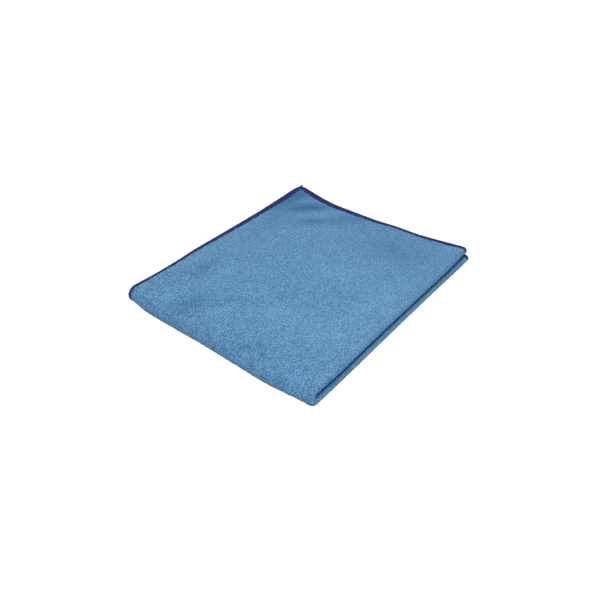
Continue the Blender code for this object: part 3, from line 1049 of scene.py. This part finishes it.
def make_edging_band(material):
    """The mass of thread that the stitches make over the rim, as one closed channel."""
    half = [
        # depth,                 outer height, inner height
        (NEEDLE_DEPTH + 0.0004,  0.00062,      0.00056),
        (NEEDLE_DEPTH * 0.55,    0.00086,      0.00056),
        (0.0006,                 0.00082,      0.00056),
        (-0.0002,                0.00050,      0.00040),
        (-0.0005,                0.00000,      0.00000),
    ]
    outer = [(depth, height) for depth, height, _ in half]
    outer += [(depth, -height) for depth, height, _ in half[-2::-1]]
    inner = [(max(depth, -BAND_NOSE), -height) for depth, _, height in half[:-1]]
    inner += [(-BAND_NOSE, 0.0)]
    inner += [(max(depth, -BAND_NOSE), height) for depth, _, height in half[-2::-1]]
    section = np.array(outer + inner)
    run, depth = np.meshgrid(band_stations(), section[:, 0], indexing="ij")
    height = np.broadcast_to(section[:, 1], run.shape)
    points = at_edge(run, depth, height)
    points[..., 2] = np.maximum(points[..., 2], FLOOR_CLEARANCE)
    rows, columns = run.shape
    index = np.arange(rows * columns).reshape(rows, columns)
    ahead = np.roll(index, -1, 0)
    faces = np.stack([index, np.roll(index, -1, 1), np.roll(ahead, -1, 1), ahead], -1)
    band = mesh_object("overlock_band", points.reshape(-1, 3), faces.reshape(-1, 4), material)
    run_ahead = np.append(run[1:], run[:1] + EDGE_LENGTH, axis=0)
    corner_runs = np.stack([run, run, run_ahead, run_ahead], -1) / EDGE_LENGTH
    give_values(band, "wound", corner_runs * round(EDGE_LENGTH / BAND_THREADS), "CORNER")
    return finished(band)


# ---------------------------------------------------------------- floor, light and camera

def make_floor():
    """A plain pale floor that runs well past the view."""
    bpy.ops.object.select_all(action="DESELECT")
    bpy.ops.mesh.primitive_plane_add(size=FLOOR_SIZE, location=(0, 0, -FLOOR_DROP))
    floor = bpy.context.object
    floor.name = "floor"
    finish = Finish("pale_floor", {"Base Color": FLOOR_GREY, "Roughness": 0.9,
                                   "Specular IOR Level": 0.0, "Emission Color": WHITE,
                                   "Emission Strength": FLOOR_GLOW})
    floor.data.materials.append(finish.material)


def add_area_light(name, azimuth, elevation, distance, size, power):
    """A soft square light that shines at the cloth from that direction."""
    light = bpy.data.lights.new(name, "AREA")
    light.size = size
    light.energy = power
    lamp = bpy.data.objects.new(name, light)
    bpy.context.scene.collection.objects.link(lamp)
    back = direction(azimuth, elevation)
    lamp.location = back * distance
    lamp.rotation_euler = back.to_track_quat("Z", "Y").to_euler()


def direction(azimuth, elevation):
    """The way from the cloth to an eye or a light; azimuth 0 is at the front, 90 at the right."""
    a = math.radians(azimuth)
    e = math.radians(elevation)
    return Vector((math.sin(a) * math.cos(e), -math.cos(a) * math.cos(e), math.sin(e)))


def light_the_scene():
    """A white room, dimmer as a light than as a backdrop, and one soft light over the front."""
    world = bpy.data.worlds.new("white_room")
    bpy.context.scene.world = world
    world.use_nodes = True
    background = world.node_tree.nodes["Background"]
    background.inputs["Color"].default_value = WHITE
    seen = world.node_tree.nodes.new("ShaderNodeLightPath")
    strength = world.node_tree.nodes.new("ShaderNodeMapRange")
    strength.inputs["To Min"].default_value = ROOM_LIGHT
    strength.inputs["To Max"].default_value = ROOM_SEEN
    world.node_tree.links.new(seen.outputs["Is Camera Ray"], strength.inputs["Value"])
    world.node_tree.links.new(strength.outputs["Result"], background.inputs["Strength"])
    add_area_light("key", KEY_AZIMUTH, KEY_ELEVATION, KEY_DISTANCE, KEY_SIZE, KEY_POWER)
    bpy.context.scene.view_settings.view_transform = "Standard"


def place_camera():
    """The camera of the photograph."""
    camera = bpy.data.cameras.new("camera")
    camera.lens = CAMERA_LENS
    camera.sensor_width = SENSOR_WIDTH
    camera.clip_start = CLIP_START
    camera.clip_end = CLIP_END
    eye = bpy.data.objects.new("camera", camera)
    bpy.context.scene.collection.objects.link(eye)
    back = direction(CAMERA_AZIMUTH, CAMERA_ELEVATION)
    eye.location = Vector(CAMERA_TARGET) + back * CAMERA_DISTANCE
    eye.rotation_euler = back.to_track_quat("Z", "Y").to_euler()
    bpy.context.scene.camera = eye


# ---------------------------------------------------------------- the whole cloth

thread_material = thread_finish()
ground = make_ground()
pile = make_pile(pile_finish())
band = make_edging_band(thread_material)
threads = make_edging(thread_material)
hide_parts("cloth")
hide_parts("edging")
make_floor()
light_the_scene()
place_camera()
